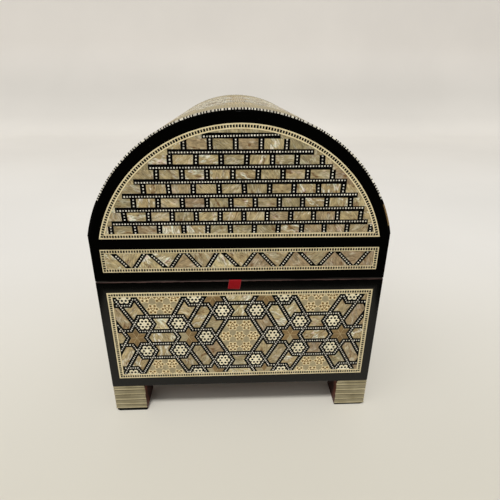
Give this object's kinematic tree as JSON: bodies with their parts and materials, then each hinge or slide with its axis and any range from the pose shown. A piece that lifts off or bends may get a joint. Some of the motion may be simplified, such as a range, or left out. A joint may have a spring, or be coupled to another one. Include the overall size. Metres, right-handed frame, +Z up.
{
  "type": "inlaid chest",
  "caption": "Small dome-topped wooden chest with marquetry panels, a rear-hinged lid, velvet lining, a ribbon pull and block feet.",
  "frame": {"origin": "middle of the footprint, on the surface that the feet stand on", "axes": "+Z up, -Y towards the front with the ribbon, +X to the right as seen from the front"},
  "size_m": [0.16, 0.2019, 0.1833],
  "materials": {
    "black_lacquer": "black polish over wood, glossy on the lid and duller on the base",
    "bare_wood": "reddish brown, lightly oiled",
    "stringing": "ivory-coloured bone with small black squares, polished",
    "marquetry": "mother of pearl, bone and black wood tesserae, polished",
    "foot_cladding": "grey-gold strips with dark lines, waxed",
    "velvet": "short pile",
    "ribbon_silk": "woven satin with a pale selvedge",
    "brass": "polished, a little dull"
  },
  "bodies": {
    "base": {"base_front_board": "black_lacquer", "base_front_stringing": "stringing", "base_front_marquetry": "marquetry", "base_right_board": "black_lacquer", "base_right_stringing": "stringing", "base_right_marquetry": "marquetry", "base_back_board": "black_lacquer", "base_back_stringing": "stringing", "base_back_marquetry": "marquetry", "base_left_board": "black_lacquer", "base_left_stringing": "stringing", "base_left_marquetry": "marquetry", "base_bottom_board": "bare_wood", "base_floor_lining": "velvet", "base_wall_lining": "velvet", "foot_front_left_face": "foot_cladding", "foot_front_left_return": "bare_wood", "foot_front_right_face": "foot_cladding", "foot_front_right_return": "bare_wood", "foot_back_left_face": "foot_cladding", "foot_back_left_return": "bare_wood", "foot_back_right_face": "foot_cladding", "foot_back_right_return": "bare_wood", "hinge_left_base_leaf": "brass", "hinge_left_base_screw_inner": "brass", "hinge_left_base_screw_outer": "brass", "hinge_left_pin": "brass", "hinge_right_base_leaf": "brass", "hinge_right_base_screw_inner": "brass", "hinge_right_base_screw_outer": "brass", "hinge_right_pin": "brass"},
    "lid": {"lid_front_board": "black_lacquer", "lid_front_band_stringing": "stringing", "lid_front_band_marquetry": "marquetry", "lunette_front_stringing": "stringing", "lunette_front_marquetry": "marquetry", "lid_back_board": "black_lacquer", "lid_back_band_stringing": "stringing", "lid_back_band_marquetry": "marquetry", "lunette_back_stringing": "stringing", "lunette_back_marquetry": "marquetry", "lid_left_rail": "black_lacquer", "lid_left_band_stringing": "stringing", "lid_left_band_marquetry": "marquetry", "lid_right_rail": "black_lacquer", "lid_right_band_stringing": "stringing", "lid_right_band_marquetry": "marquetry", "vault_panel": "bare_wood", "vault_stringing": "stringing", "vault_marquetry": "marquetry", "lid_front_lining": "velvet", "lid_back_lining": "velvet", "lid_vault_lining": "velvet", "pull_ribbon": "ribbon_silk", "hinge_left_lid_leaf": "brass", "hinge_left_lid_screw_inner": "brass", "hinge_left_lid_screw_outer": "brass", "hinge_right_lid_leaf": "brass", "hinge_right_lid_screw_inner": "brass", "hinge_right_lid_screw_outer": "brass"}
  },
  "joints": [
    {"name": "lid_hinge", "type": "hinge", "parent": "base", "child": "lid", "pos_m": [0, 0.099, 0.09315], "axis": [-1, 0, 0], "range_deg": [0, 100]}
  ]
}
